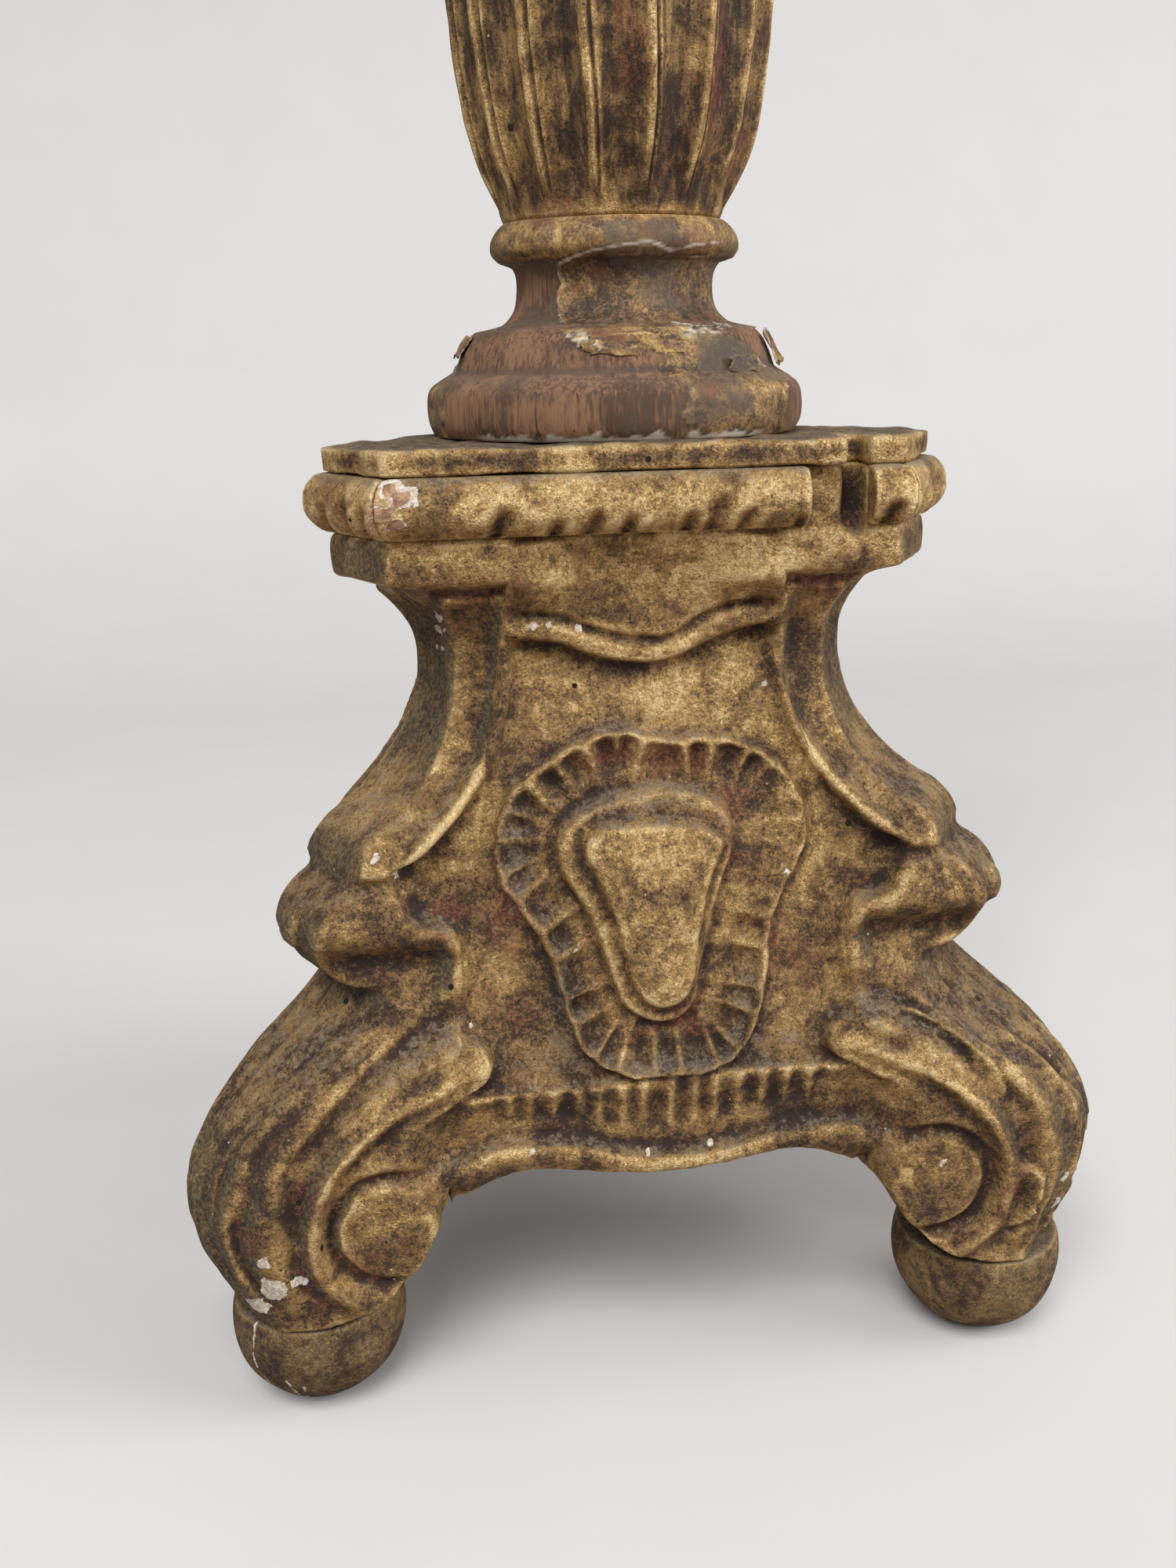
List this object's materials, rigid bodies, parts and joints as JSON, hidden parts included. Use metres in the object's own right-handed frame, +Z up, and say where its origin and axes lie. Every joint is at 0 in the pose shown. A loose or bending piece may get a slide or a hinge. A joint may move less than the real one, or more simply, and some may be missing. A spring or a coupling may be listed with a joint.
{
  "type": "pricket candlestick",
  "caption": "Carved and gilded wooden pricket candlestick on a three-sided scroll base with ball feet, with a fluted vase stem, turned dish, loose drip pan and candle spike.",
  "frame": {"origin": "on the stem's axis, at the level of the surface that the ball feet stand on", "axes": "+Z up along the stem, -Y out through the front side of the base, +X to the front side's right"},
  "size_m": [0.2336, 0.2029, 0.693],
  "materials": {
    "gilt_wood": "aged gilding over bole and gesso",
    "raw_wood": "bare and dusty",
    "iron": "forged, dull"
  },
  "bodies": {
    "stick": {"corner_scroll_front_left": "gilt_wood", "corner_scroll_front_right": "gilt_wood", "corner_scroll_back": "gilt_wood", "corner_cornice_front_left": "gilt_wood", "corner_cornice_front_right": "gilt_wood", "corner_cornice_back": "gilt_wood", "ball_foot_front_left": "gilt_wood", "ball_foot_front_right": "gilt_wood", "ball_foot_back": "gilt_wood", "panel_front": "gilt_wood", "panel_left": "gilt_wood", "panel_right": "gilt_wood", "cornice_front": "gilt_wood", "cornice_left": "gilt_wood", "cornice_right": "gilt_wood", "cornice_front_stub": "gilt_wood", "top_board": "gilt_wood", "stem_socle": "gilt_wood", "fluted_vase": "gilt_wood", "middle_knop": "gilt_wood", "upper_baluster": "gilt_wood", "candle_dish": "gilt_wood", "stem_block": "raw_wood", "pricket_spike": "iron"},
    "pan": {"drip_pan": "iron"}
  },
  "joints": [
    {"name": "pan_lift", "type": "slide", "parent": "stick", "child": "pan", "axis": [0, 0, 1], "range_m": [0, 0.09]}
  ]
}
